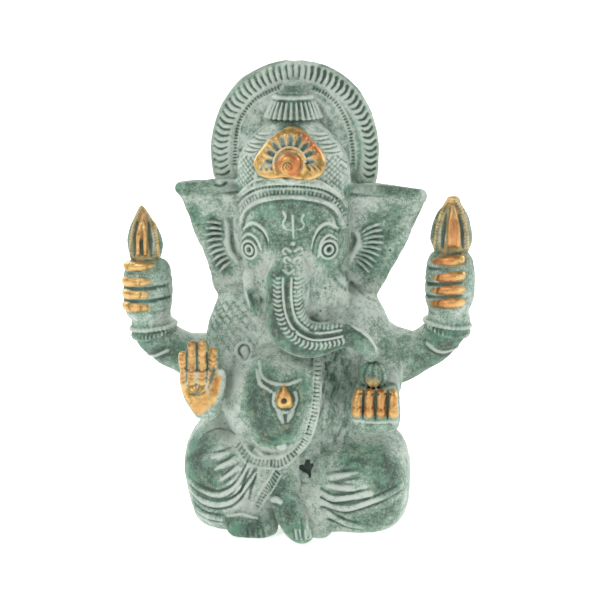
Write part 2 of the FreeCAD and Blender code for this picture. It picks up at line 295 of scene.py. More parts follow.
def stroke(kind, points, radius, amount=0.0, paint=None, shade=1.0, soft=0.25):
    """Keeps one stroke. kind is raise, cut, swell or tint; radius may taper along the path."""
    points = np.atleast_2d(points)
    if not len(points):
        return
    radii = np.interp(np.linspace(0, 1, len(points)), np.linspace(0, 1, np.size(radius)),
                      np.atleast_1d(radius))
    STROKES.append({"kind": kind, "points": points, "radii": radii, "amount": amount, "paint": paint,
                    "shade": shade, "soft": soft})


def runs(path, spacing, side):
    """The draped path in unbroken runs, split where the surface drops away."""
    points, normals = drape(smooth_path(path, spacing), side)
    gaps = np.linalg.norm(np.diff(points, axis=0), axis=1)
    breaks = np.flatnonzero(gaps > spacing + 1.1) + 1
    kept = [(p, n) for p, n in zip(np.split(points, breaks), np.split(normals, breaks)) if len(p)]
    longest = max((len(p) for p, _ in kept), default=0)
    return [(p, n) for p, n in kept if len(p) > 2 or len(p) == longest]


def ridge(path, radius, height, shade=1.0, paint="pale", side=-1, spacing=0.6, soft=0.25):
    for points, normals in runs(path, spacing, side):
        stroke("raise", points + normals * (height - np.mean(radius)), radius, 0.0, paint, shade, soft)


# Grooves take dark paint by default: dark patina along the cut, with painted shade.
def groove(path, radius, depth, shade=1.0, paint="dark", side=-1, spacing=0.6, soft=0.2):
    for points, normals in runs(path, spacing, side):
        stroke("cut", points + normals * (np.mean(radius) - depth), radius, 0.0, paint, shade, soft)


def swell(path, radius, amount, paint=None, shade=1.0, side=-1):
    """A soft rise, or a soft hollow where amount is negative."""
    spacing = np.min(radius) * 0.5
    points, _ = drape(smooth_path(path, spacing), side)
    stroke("swell", points, radius, amount, paint, shade)


def tint(points, radius, paint, shade=1.0, soft=2.0):
    stroke("tint", points, radius, paint=paint, shade=shade, soft=soft)


def wash(path, radius, paint, shade=1.0, soft=2.0, side=-1):
    """A tint along (x, z) places."""
    tint(drape(path, side)[0], radius, paint, shade, soft)


def beads(path, radius, height, pitch, paint=None, shade=1.0, side=-1):
    points, normals = drape(smooth_path(path, pitch), side)
    for point, normal in zip(points, normals):
        stroke("raise", point + normal * (height - radius), radius, paint=paint, shade=shade)


def offset_path(path, distance):
    """The (x, z) path moved sideways, to the left of its direction where distance is positive."""
    path = np.asarray(path, float)
    along = np.gradient(path, axis=0)
    along /= np.maximum(np.linalg.norm(along, axis=1, keepdims=True), 1e-6)
    return path + np.column_stack([-along[:, 1], along[:, 0]]) * np.reshape(distance, (-1, 1))


def ticks(path, inner, outer, pitch, draw, lean=0.0, hook=0.0):
    """Short strokes across a path, from one side distance to another, drawn by draw(points)."""
    even = smooth_path(path, pitch)
    along = np.gradient(even, axis=0)
    along /= np.maximum(np.linalg.norm(along, axis=1, keepdims=True), 1e-6)
    across = np.column_stack([-along[:, 1], along[:, 0]])
    for place, forward, side in zip(even, along, across):
        share = np.linspace(0, 1, 4)[:, None]
        reach = inner + (outer - inner) * share
        bend = lean * share + hook * share * (1 - share)
        draw(place + side * reach + forward * bend)


def ladder(path, half_gap, pitch, rail=0.36, height=0.32, shade=0.6, tick=0.3):
    """A chased band: two raised rails with dark ticks cut across between them."""
    line = smooth_path(path, 0.8)
    for side in (-1, 1):
        ridge(offset_path(line, side * half_gap), rail, height, shade)
    ticks(path, -half_gap * 0.75, half_gap * 0.75, pitch, lambda p: groove(p, tick, 0.4, 0.75, spacing=0.8))


def crosshatch(x_low, x_high, z_low, z_high, pitch):
    """Small lozenges left between two sets of slanting cuts."""
    width = x_high - x_low
    for slope in (-1, 1):
        for z in np.arange(z_low - width, z_high + width, pitch):
            start = np.array([x_low, z])
            stop = np.array([x_high, z + slope * width])
            share = np.linspace(0, 1, 9)[:, None]
            line = start + (stop - start) * share
            line = line[(line[:, 1] > z_low) & (line[:, 1] < z_high)]
            if len(line) > 1:
                groove(line, 0.26, 0.26, 0.5, spacing=0.9)


# Ornament

def chase_halo():
    centre = np.array([-0.4, 119.8])
    radii = np.array([27.8, 30.2])

    def at(angle, share):
        return centre + radii * share * np.array([cos(angle), sin(angle)])

    def arc(share, start=-0.35, stop=pi + 0.35, count=60):
        return [at(a, share) for a in np.linspace(start, stop, count)]

    ridge(arc(0.99), 0.8, 0.3, 0.9, "bare")
    ridge(arc(0.785), 1.2, 0.5, 0.35)
    petal_sizes = np.random.default_rng(5)
    petals = 47
    step = (pi + 0.66) / petals
    for i in range(petals):
        angle = -0.33 + step * (i + 0.5)
        is_right = cos(angle) > 0.2
        bow = -0.035 * cos(angle)
        reach = 0.945 - 0.015 * cos(angle)
        wide = petal_sizes.uniform(0.8, 1.1)
        for kind, shift in (("petal", 0), ("gap", step / 2)):
            places = [at(angle + shift + bow * sin(pi * t), 0.80 + (reach - 0.80) * t)
                      for t in np.linspace(0, 1, 5)]
            if kind == "petal":
                girths = [0.8 * wide, 0.95 * wide, 0.7 * wide, 0.2]
                ridge(places, girths, 0.36, 0.6, spacing=0.9, soft=0.4)
            elif is_right:
                # painted shadow: on the right side the gaps are darker beside each petal
                groove(places, [0.2, 0.3, 0.5, 0.7], 0.36, 0.25, spacing=0.9, soft=0.5)
                wash(places[2:], 0.6, "bare", 0.8, 0.6)
            else:
                groove(places, [0.25, 0.3, 0.3, 0.25], 0.28, 0.15, spacing=0.9, soft=0.5)
    left_band = [(-20.2, 116), (-20, 123), (-18.9, 129.3), (-16.8, 133.4), (-13.6, 137), (-9.3, 139.6),
                 (-6, 141)]
    right_band = [(5.4, 140.9), (9, 139.2), (12.6, 136.1), (15.2, 131.8), (17, 127), (18, 121),
                  (18.2, 114.6)]
    for band in (left_band, right_band):
        ladder(band, 0.75, 1.05, rail=0.36, height=0.24, shade=0.45, tick=0.24)
    for side in (-1, 1):
        wash([(side * 9.0 - 0.4, 135.5), (side * 12.0 - 0.6, 129.5), (side * 14.4 - 0.8, 122)], 3, "pale",
             0.45, 2)
    # painted shade along the right side of the rim
    wash(arc(0.96, -0.35, 1.3, 24), 1.6, "bare", 0.4, 1.2)
    wash(arc(0.87, -0.4, pi + 0.4, 40), 4, "pale", 0.45, 2)
    for share in (0.97, 0.8, 0.55):
        groove(arc(share, -0.9, pi + 0.9), 0.5, 0.3, 0.4, side=1)


def chase_crown():
    crosshatch(-18.4, -12, 107.6, 121.5, 1.75)
    crosshatch(10.9, 16.8, 107.6, 121.5, 1.75)
    for i in range(5):
        z = 122.6 + i * 1.25
        tilt = 0.3 * (-1) ** i
        for side, near, far in ((-1, 10.6 - i * 0.9, 15.8 - i * 0.9), (1, 9.2 - i * 0.9, 15.4 - i * 1)):
            line = [(side * near, z + tilt), (side * (near + far) / 2, z - 0.2), (side * far, z - tilt)]
            groove(line, [0.2, 0.34, 0.2], 0.28, 0.5)
            ridge([(x, height + 0.6) for x, height in line], [0.2, 0.34, 0.2], 0.2, 0.6)
    chain = [(-18.3, 104.8), (-14.8, 109), (-8.9, 112.1), (-0.2, 112.9), (9, 111.8), (13.9, 108.6),
             (16.6, 104.4)]
    ladder(chain, 0.7, 1.1, shade=0.5, tick=0.2)
    wash(smooth_path(chain, 1), 1.5, "bare", 0.6, 1)
    ridge([(-18.2, 107.4), (-14.8, 111.4), (-10.3, 114.3), (-3.6, 115.3), (-0.2, 113.9), (5.3, 115.1),
           (11.2, 113), (15.9, 108.4)], 0.5, 0.4, 0.6)
    lower = [(-16.9, 98.6), (-15, 103.9), (-9, 108.2), (-0.2, 109.6), (8.9, 108.4), (14.1, 104.6),
             (16.3, 98.8)]
    ridge(lower, [0.3, 0.7, 0.9, 0.7, 0.9, 0.7, 0.3], 0.35, 0.25)
    wash(smooth_path(lower, 1), 1.4, "bare", 0.4, 1)
    groove(offset_path(smooth_path(lower, 0.8), -1.2), 0.5, 0.25, 0.2, soft=0.6)
    ticks(lower, 1, 1.9, 1.15, lambda p: groove(p, 0.28, 0.32, 0.6))
    wash([(-0.6, 131.2)], 3, "bare", 0.9, 1.5)


def chase_crown_top():
    """Flutes round the skirt and the lines of the lip and cone."""
    low, high, centre, half = spread("crown_skirt")
    flutes = 28
    for i in range(flutes):
        for kind, shift in (("rib", 0), ("gap", 0.5)):
            angle = 2 * pi * (i + shift) / flutes
            away = outward(angle)
            foot = centre + away * half
            head = centre + away * half * 0.76
            foot[2], head[2] = low[2] + 0.3, high[2] - 0.7
            line = np.linspace(foot, head, 5)
            if kind == "rib":
                stroke("raise", line - away * 0.1, [0.5, 0.36], paint="pale", shade=0.65)
            else:
                stroke("cut", line + away * 0.2, [0.6, 0.45], paint="dark", shade=0.45)
    tint(centre + [0, -6, 0], 6.5, "bare", 0.7, 2)
    low, high, centre, half = spread("crown_finial")
    lip = np.array([outward(a) * half * 0.97 for a in np.linspace(0, 2 * pi, 40)])
    stroke("raise", lip + [centre[0], centre[1], low[2] + 0.6], 0.45, paint="pale", shade=0.7)
    stroke("cut", lip * 0.8 + [centre[0], centre[1], low[2] + 1.7], 0.4, paint="dark", shade=0.5)
    cone = centre + [0, -2.5, 1.2]
    tint(cone, 4.2, "bare", 1, 1.2)
    tint(cone, 3.6, "dark", 0.45, 1.2)


def chase_fan():
    """The star-cut fan on the crown and its jewel."""
    centre = np.array([-0.2, 120])

    def ray(angle, length):
        return centre + length * np.array([cos(angle), sin(angle)])

    rays = 9
    for angle in np.linspace(0.1, pi - 0.1, rays):
        reach = 8.4 + 0.9 * sin(angle)
        groove([ray(angle, 5.4), ray(angle, 6.8), ray(angle, reach)], [0.9, 0.95, 0.1], 0.6, 0.75, "pale")
        groove([ray(angle, 5.6), ray(angle, reach - 0.8)], [0.45, 0.1], 0.8, 0.7)
    for angle in np.linspace(0.3, pi - 0.3, rays - 1):
        ridge([ray(angle, 5.6), ray(angle, 8.6)], [0.25, 0.5], 0.4, 1, "gold")
    rim = [centre + np.array([cos(a) * 4.9, sin(a) * 4.8]) for a in np.linspace(-0.6, 3.74, 26)]
    ridge(rim, 0.55, 0.6, 1, "gold")
    for x in (5.6, 7.2, 8.8):
        groove([(x - 0.9, 120.2), (x + 0.7, 118.2)], 0.35, 0.4, 0.7)
    for x in (-8.6, -6.6):
        groove([(x - 0.8, 118), (x, 119.6), (x + 0.8, 118.2)], 0.4, 0.4, 0.7, "pale")
    front = BOXES["crown_jewel"][0][1]
    jewel = middle("crown_jewel")
    turns = np.linspace(0, 3.4 * pi, 34)
    swirl = np.array([[cos(a) * (0.35 + 0.13 * a), 0, sin(a) * (0.35 + 0.15 * a)] for a in turns])
    swirl[:, 1] = front - jewel[1] + 0.1 + 0.11 * (swirl[:, 0] ** 2 + swirl[:, 2] ** 2)
    stroke("cut", jewel + swirl + [0, 0, -0.5], 0.24, paint="dark", shade=0.75)
    tint(jewel, 4.2, "copper", 0.9, 0.6)
    wash([ray(0.5, 9), ray(1, 9.5)], 2.6, "copper", 0.9, 1.6)


def ellipse_path(centre, half_width, half_height, start=0, stop=2 * pi, count=24):
    return [(centre[0] + half_width * cos(a), centre[1] + half_height * sin(a))
            for a in np.linspace(start, stop, count)]


def chase_face():
    brows = ([(-15.4, 98.2), (-12.3, 100.6), (-9.1, 99.5), (-7.5, 96.7), (-7.1, 92)],
             [(6.9, 91.4), (7.5, 95.7), (8.9, 99.4), (11.5, 100.9), (15, 98.9)])
    lids = ([(-15.8, 95), (-13.4, 96.9), (-10.9, 95.8), (-9.2, 92.4)],
            [(8.8, 90.4), (9.6, 94.8), (11.8, 97.1), (14.3, 95.5)])
    for eye, brow, lid in zip(((-13.3, 91.8), (11.8, 92.5)), brows, lids):
        swell([eye], 4.2, 0.3)
        swell([(eye[0] * 0.55, eye[1] - 3)], 3, -0.5)
        wash([eye, (eye[0], eye[1] + 3)], 4.6, "bare", 0.75, 2)
        ridge(brow, [0.35, 0.55, 0.5, 0.25], 0.5, 0.95)
        groove([(x, z - 1.4) for x, z in brow], [0.3, 0.5, 0.5, 0.3], 0.2, 0.8, "bare")
        ridge(lid, [0.3, 0.45, 0.25], 0.45, 0.95)
        groove(ellipse_path(eye, 1.85, 2.1), 0.36, 0.1, 0.5)
        ridge(ellipse_path(eye, 2.5, 2.85), 0.38, 0.66)
        ridge(ellipse_path(eye, 1.2, 1.45), 0.36, 0.7)
        groove([eye, (eye[0] + 0.2, eye[1] + 0.2)], 0.62, 0.4, 0.9)
    # the three-pronged mark on the brow
    ridge([(0.8, 103.6), (1.1, 96.8)], [0.32, 0.24], 0.3, 0.9)
    ridge([(-2.2, 104.8), (-1.4, 103.1), (-2.3, 101.1), (-1.4, 99.5), (0.5, 99)], [0.36, 0.26, 0.2], 0.28,
          0.85)
    ridge([(4.2, 103.8), (3.5, 102.3), (4.4, 101.1), (3.8, 99.6), (1.6, 99.1)], [0.3, 0.24, 0.2], 0.26,
          0.75)
    # a plain blossom of curls below it
    beads([(1.1, 95)], 0.7, 0.5, 1, "pale", 1)
    for side in (-1, 1):
        for height, length in ((92.9, 3.2), (90.4, 2.6)):
            ridge([(1.1 + side * 0.7, height), (1.1 + side * length * 0.7, height + 0.8),
                   (1.1 + side * length, height - 0.2), (1.1 + side * length * 0.7, height - 1)],
                  [0.38, 0.32, 0.2], 0.34)
    wash([(1.1, 93.5), (1.1, 89.5)], 2.6, "dark", 0.3, 1.6)
    # cheeks and jaw
    swell([(9.5, 82), (11, 77), (16, 73), (22, 71)], 4, 0.3)
    swell([(18.8, 81), (18.2, 77), (19.4, 73)], 2.4, 0.9)
    swell([(6.4, 74), (7.4, 71.8), (9.6, 70.9)], 1.8, 1.4)
    groove([(14.2, 83.2), (17.1, 79.6), (22.2, 76.2), (26.1, 73.9)], 0.8, 0.3, 0.25, soft=0.9)
    groove([(7, 84), (6.5, 78)], 0.8, 0.3, 0.2, soft=0.9)
    # right tusk: a pale left edge beside a dark flat face
    low, high = BOXES["right_tusk"]
    root = np.array([low[0] - AXIS_X + 3, (high[2] - 7) / SCALE])
    point = np.array([high[0] - AXIS_X - 1.9, (low[2] + 0.4) / SCALE])
    share = np.linspace(0, 1, 5)[:, None]
    tusk = root + (point - root) * share + np.array([0.6, 0]) * share * (1 - share)
    wash(tusk, 1.6, "bare", 1, 0.6)
    ridge(tusk - [1.3, 0.2], [0.45, 0.4, 0.3], 0.4)
    groove(tusk + [0.2, -0.4], [0.8, 0.7, 0.4], 0.4, 0.45)


def chase_trunk():
    spine = smooth_path([(-0.25, 85), (-0.2, 81), (0.1, 77.4), (0.9, 73.9), (2.3, 71), (4.8, 68.7),
                         (8.3, 67.4), (12.3, 67.5), (17, 68.3)], 0.6)
    half_gap = np.linspace(1.35, 0.95, len(spine))
    for side in (-1, 1):
        ridge(offset_path(spine, side * half_gap), 0.3, 0.4, 0.95)
        groove(offset_path(spine, side * (half_gap + 0.75)), 0.34, 0.22, 0.4)
        ticks(offset_path(spine, side * (half_gap + 0.9)), 0, side * 2.2, 1.35,
              lambda p: ridge(p, [0.32, 0.28, 0.16], 0.3, 0.8, spacing=0.5), lean=-0.5, hook=1.6)
    groove(spine, 0.5, 0.3, 0.3)
    for side in (-1, 1):
        wash(offset_path(spine, side * 4.2)[::3], 2.2, "dark", 0.4, 1.6)
    wash(spine[::3], 3, "dark", 0.25, 1.6)
    for i in range(10):
        share = (i + 0.5) / 10
        x, z = spine[int(share * (len(spine) - 1))]
        groove([(x - 3.9, z + 1), (x - 5.2, z + 1.5)], 0.3, 0.15, 0.5, "bare")
    ridge([(20.1, 70), (23.6, 68.1), (26.2, 65.4), (27.5, 63.1)], [0.45, 0.8, 0.45], 0.6)
    ridge([(-1.6, 87.4), (0.1, 86.4), (1.8, 87.6)], 0.36, 0.3, 0.8)
    for x in (-1, 0.9, 2.6):
        ridge([(x, 88.6), (x + 0.9, 86.2)], 0.28, 0.25, 0.5)
    tip = BOXES["trunk"]
    end = np.array([tip[1][0] - 3, tip[0][1] + 3.2, tip[0][2] + 0.6])
    stroke("cut", end + [[-0.6, -2.2, 0.4], [0.6, -2.2, 0.2]], 0.5, paint="dark", shade=0.6)


def chase_ears():
    fans = (([(-24.4, 98.2), (-24, 94.6), (-23.9, 91), (-22.8, 87.4), (-20.6, 84.2)],
             [(-28.4, 99), (-28.8, 94.4), (-28.2, 89.6), (-26.6, 85), (-23.8, 81)], -1),
            ([(21.6, 96.2), (22.6, 93.4), (22, 90.6), (20.6, 88), (19.6, 85.4)],
             [(26.4, 99), (28.2, 95), (27.6, 90.2), (25.8, 85.6), (23, 81.6)], 1))
    rows = 9
    for inner, outer, side in fans:
        inner, outer = (smooth_path(p, 0.3) for p in (inner, outer))
        share = np.linspace(0, 1, rows * 2 + 1)
        inner = inner[(share * (len(inner) - 1)).astype(int)]
        outer = outer[(share * (len(outer) - 1)).astype(int)]
        swell((inner + outer) / 2, 3, -0.7)
        wash(inner * 0.45 + outer * 0.55, 2.4, "bare", 0.7, 1.6)
        for i in range(len(share)):
            bend = (inner[i] + outer[i]) / 2 + np.array([0, 0.3])
            if i % 2:
                ridge([inner[i], bend, outer[i]], [0.35, 0.7, 0.3], 0.36, 0.3, spacing=0.8, soft=0.5)
            else:
                groove([inner[i], bend, outer[i]], [0.2, 0.4, 0.2], 0.22, 0.3, spacing=0.8, soft=0.5)
        crescent = offset_path(inner[::2], -2.0 * side)
        ridge(crescent, [0.5, 1.3, 0.6], 0.6, 0.5, soft=1)
        groove(offset_path(inner[::2], -3.7 * side), 0.6, 0.3, 0.2, soft=0.8)
        swell([(side * 24, 104), (side * 31, 104.2)], 3, -0.7)
        swell([(side * 35, 102), (side * 32, 95), (side * 30.5, 88)], 1.6, 0.5)
        groove([(side * 18, 107.6), (side * 26, 106.8), (side * 37, 106.4)], [0.9, 0.7, 0.4], 0.35, 0,
               soft=1)
        rim = drape(smooth_path([(side * 17, 109.2), (side * 26, 109.6), (side * 38, 109)], 1))[0]
        tint(rim, 2, "bare", 1, 0.8)
        tint(rim, 2, "dark", 0.5, 0.8)
        wash([(side * 19, 105), (side * 21, 101)], 2.2, "dark", 0.45, 1.4)
        wash([(side * 33.5, 102), (side * 31.5, 94), (side * 30, 86)], 1.8, "bare", 0.55, 1.4)


def chase_belly():
    oval = [(-14.2, 48), (-15.5, 42.5), (-15, 34.5), (-12.4, 27.6), (-7, 24.8), (-0.6, 26.8), (4.2, 33),
            (6.4, 41), (5.8, 48.5)]
    swell(oval[:5], 1.6, -0.4)
    swell([(6.6, 48.5), (6.2, 41), (3.6, 33.6), (-0.4, 28.2)], 0.8, 0.45)
    ridge(oval[3:7], [0.2, 0.6, 0.5], 0.3, 0.55, soft=0.5)
    wash([(-9, 42), (-7, 34), (0, 36)], 4, "dark", 0.2, 3)
    sash_line = [(8.8, 57.5), (8.8, 50), (8.1, 41.2), (5.2, 31.8), (0, 25.4), (-6.2, 23), (-12.4, 24.3),
                 (-17, 28.2)]
    ladder(sash_line, 1.3, 1.25, rail=0.45, height=0.4, shade=0.6, tick=0.26)
    ladder([(-3.6, 21.2), (-5.6, 17.6), (-8, 13.6), (-10.4, 9.6)], 1.35, 1.15, rail=0.45, height=0.4,
           shade=0.6, tick=0.26)
    # navel jewel with its setting, under a chased collar
    navel = (-1.1, 45.8)
    ridge(ellipse_path(navel, 3.7, 4, -3.6, 0.5), 0.8, 0.5, 0.7)
    groove(ellipse_path(navel, 4.5, 4.9, -3.5, 0.4), 0.4, 0.3, 0.5)
    ridge([(-3.1, 42.4), (-2, 39.6), (-1.8, 38.2)], [0.8, 1, 0.4], 0.55, 0.7)
    ridge([(1.3, 42.2), (0.1, 39.8), (-0.1, 38.7)], [0.8, 1, 0.4], 0.55, 0.7)
    low, high = BOXES["navel_ornament"]
    pit = np.array([middle("navel_ornament")[0] - 0.1, low[1] + 0.1, low[2] + (high[2] - low[2]) * 0.36])
    stroke("cut", pit, 1, paint="dark", shade=1)
    tint(middle("navel_ornament") + [0, 0, 1], 1.6, "copper", 0.7, 1.6)
    boss = drape([(-2.9, 29.3), (-2, 29.4)])[0]
    stroke("raise", boss, 1.4, paint="pale", shade=1)
    ridge([(-9.9, 56.6), (-8.8, 52.9), (-6, 51), (-0.9, 50.4), (3.6, 51.6)], [0.4, 0.7, 0.5], 0.5, 0.75)
    ridge([(-10.6, 54.2), (-8.8, 50.4), (-5.4, 48.4)], [0.4, 0.8, 0.5], 0.5, 0.8)
    wash([(-9.4, 54.5), (-7.5, 51.8), (-4.5, 50)], 1, "dark", 0.8, 0.8)
    smudges = np.random.default_rng(11)
    for _ in range(60):
        x, z = smudges.uniform(9.5, 19), smudges.uniform(27, 62)
        lean, length = smudges.uniform(-0.9, 0.9), smudges.uniform(0.5, 3.2)
        groove([(x, z), (x + lean, z - length)], smudges.uniform(0.15, 0.4), 0.22,
               smudges.uniform(0.2, 0.8), soft=0.4)
        wash([(x, z), (x + lean, z - length)], smudges.uniform(0.5, 1.4), "bare", 0.6, 1.4)


def chase_legs():
    folds = ([(-33.2, 16), (-28.3, 14), (-22.7, 13.2), (-18.2, 15.4), (-15.4, 18.9), (-13.6, 22.4)],
             [(-32.8, 12.8), (-28.4, 10.3), (-22.7, 9.7), (-17.2, 11.9), (-13.2, 17.1), (-10.6, 20.6)],
             [(-31.4, 6.8), (-27.5, 5), (-21.4, 4.6)],
             [(10.3, 11.7), (17.8, 9.6), (25.9, 12), (35.6, 15.6)],
             [(10.2, 14.5), (15.1, 12.9), (25.8, 15)],
             [(12.4, 7.6), (18.3, 4.2), (23.4, 3)])
    for fold in folds:
        swell(fold, [1.1, 1.7, 1.2], 0.8)
        ridge(fold, [0.25, 0.6, 0.5, 0.2], 0.5, 0.85, soft=0.5)
        groove([(x, z - 1.5) for x, z in fold], [0.3, 0.55, 0.3], 0.35, 0.25, soft=0.5)
        groove([(x, z + 1.4) for x, z in fold], [0.3, 0.45, 0.3], 0.25, 0.7, "bare")
    for tongue in ([(-23.8, 21.4), (-18.3, 24.4)], [(-22.1, 18), (-16.6, 22.4)],
                   [(-25.2, 24.6), (-19.6, 26.2)], [(13.2, 19.9), (22, 21.4)],
                   [(12.2, 16.9), (20.2, 16.4)]):
        a, b = np.array(tongue)
        ridge([a, (a + b) / 2, b], [0.2, 0.75, 0.4] if a[0] < 0 else [0.4, 0.7, 0.2], 0.5, 0.85, soft=0.5)
        for drop in (1.5, -1.4):
            away = np.array([0.3, -drop])
            groove([a + away, (a + b) / 2 + away, b + away], [0.25, 0.5, 0.3], 0.35, 0.25, soft=0.5)
    for fold in ([(-13, 22), (-14.6, 17), (-15.6, 13)], [(-10.4, 21), (-12, 16), (-12.8, 12)],
                 [(-18, 31), (-24, 32), (-29, 30)]):
        groove(fold, [0.3, 0.5, 0.3], 0.45, 0.45)
    for x, z in ((3.4, 21.6), (6.4, 21.8), (5.4, 22.8), (4.2, 17.8), (6, 18.6)):
        groove([(5, 20.2), (x, z)], [1.3, 0.7], 1.5, 1.5, soft=0.3)
    slot = drape(smooth_path([(4.4, 17.4), (4.8, 15), (5.6, 12)], 0.8))[0]
    stroke("raise", slot, 1.9, soft=1.4)
    for side in (-1, 1):
        back = [(side * 34, 14), (side * 24, 9), (side * 12, 8)]
        swell(back, 1.8, 0.6, side=1)
        groove([(x, z - 2.2) for x, z in back], 0.5, 0.4, 0.4, side=1)
        ridge([(x, z + 6) for x, z in back], [0.4, 0.8, 0.4], 0.5, 0.6, side=1)
        groove([(x, z + 4.6) for x, z in back], 0.45, 0.35, 0.4, side=1)


def chase_back():
    """Behind: a belt over the hips, the fall of the shawl, and the parting of the crown."""
    ladder_line = [(-24, 31), (-12, 28), (-1, 27), (10, 28), (22, 31)]
    for shift in (0, 3):
        ridge([(x, z + shift) for x, z in ladder_line], 0.6, 0.45, 0.7, side=1)
    ticks(ladder_line, 0.7, 2.3, 1.5, lambda p: groove(p, 0.35, 0.4, 0.7, side=1))
    for shift in (0, 4):
        shawl = [(16 - shift, 78), (10 - shift, 62), (0 - shift, 46), (-10 - shift, 34)]
        ridge(shawl, [0.5, 0.9, 0.6], 0.5, 0.6, side=1)
        groove([(x - 1.4, z) for x, z in shawl], 0.45, 0.35, 0.4, side=1)
    ridge(ellipse_path((-0.4, 122), 6, 7), 0.7, 0.45, 0.6, side=1)
    for i in range(12):
        angle = 2 * pi * i / 12
        a, b = ((-0.4 + r * cos(angle), 122 + 1.15 * r * sin(angle)) for r in (8.5, 14))
        groove([a, b], [0.3, 0.6], 0.4, 0.4, side=1)


def chase_pits():
    """Casting pits, scattered over front and back."""
    rng = np.random.default_rng(23)
    for side, count in ((-1, 150), (1, 70)):
        for _ in range(count):
            x = rng.uniform(-36, 36)
            z = rng.uniform(3, 146)
            radius = rng.uniform(0.2, 0.34)
            groove([(x, z)], radius, radius * 0.9, 0.8, side=side)


def chase_feet():
    for i in range(4):
        x = BOXES["left_shin"][1][0] - AXIS_X - 6.6 + i * 1.5
        groove([(x, 2.4), (x - 0.4, 5.2)], [0.2, 0.3], 0.3, 0.6)
        ridge([(x + 0.75, 2.6), (x + 0.35, 5.6)], [0.2, 0.3], 0.25, 0.8)
    ridge([(-5, 13.2), (-3.6, 13.8), (-2.2, 13.4)], [0.9, 1.2, 0.9], 0.75, 0.9)
    groove([(-5.4, 11.8), (-3.6, 12), (-1.8, 11.8)], 0.35, 0.35, 0.6)
    for i in range(5):
        start = (4.6 + 0.5 * i, 15.0 - 2.4 * i)
        ridge([start, (start[0] + 0.9, start[1] - 1.6), (start[0] + 0.6, start[1] - 3)], [0.2, 0.4, 0.2],
              0.25, 0.5, soft=0.5)
    ridge([(6.2, 9), (6.8, 5.6), (6.4, 3)], [0.3, 0.5, 0.2], 0.3, 0.6, soft=0.5)
    groove([(4.8, 9), (5.2, 5.6), (5, 3)], [0.2, 0.4, 0.2], 0.3, 0.4, soft=0.5)
    ridge([(-20, 6.2), (-15, 7.4), (-10, 6.6)], [0.4, 0.8, 0.4], 0.35, 0.9)
    for i in range(4):
        x = -7.6 - i * 1.7
        groove([(x, 0.6), (x - 0.3, 3.4)], 0.32, 0.35, 0.6)


def chase_fist(node, ends, lean):
    """Four gilded fingers closed round the stem, each tapering to its tip, over dark gaps.

    ends are the angles of the thick root and of the tip, from +X towards the front.
    """
    low, high, centre, half = spread(node)
    share = np.linspace(0, 1, 12)
    angles = ends[0] + (ends[1] - ends[0]) * share
    away = np.linspace(ends[1], ends[1] + 0.8 * math.copysign(1, ends[1] - ends[0]), 6)
    for row, inset in ((0.9, 1.5), (0.65, 0.9), (0.44, 0.9), (0.23, 1)):
        z = low[2] + (high[2] - low[2]) * row

        def around(turn, inset, rise):
            return np.column_stack([centre[0] + (half[0] - inset) * np.cos(turn),
                                    centre[1] - (half[1] - inset) * np.sin(turn), rise])

        thick = np.interp(share, [0, 0.2, 0.45, 0.75, 1], [1.6, 1.85, 1.6, 1.2, 0.4])
        stroke("raise", around(angles, inset, z + lean * share), thick, paint="gold", shade=1)
        stroke("cut", around(angles, 0, z - 2.15 + lean * share), [0.3, 0.5, 0.6], paint="dark", shade=0.6,
               soft=0.5)
        tint(around(away, 0.5, np.linspace(z + lean, z + 1.2 * lean, 6)), 0.5, "pale", 0.5, 0.8)
        stroke("cut", around(away, 0, np.linspace(z + lean, z + 1.2 * lean, 6) - 1.8), 0.4, paint="dark",
               shade=0.4, soft=0.5)
        reddish, dull = (0.75, 0.35) if node == "upper_left_hand" else (0.15, 0.12)
        tint(around(angles[3:9], inset, z + lean * share[3:9]), 2.3, "copper", reddish, 1)
        tint(around(angles, inset, z + lean * share), 2.3, "dark", dull, 1)
        for k in (3, 7):
            turn = angles[k] + np.array([-0.04, 0, 0.04])
            stroke("cut", around(turn, -0.15, z + lean * share[k] + np.array([0.9, 0, -0.9])), 0.22,
                   paint="dark", shade=0.7)


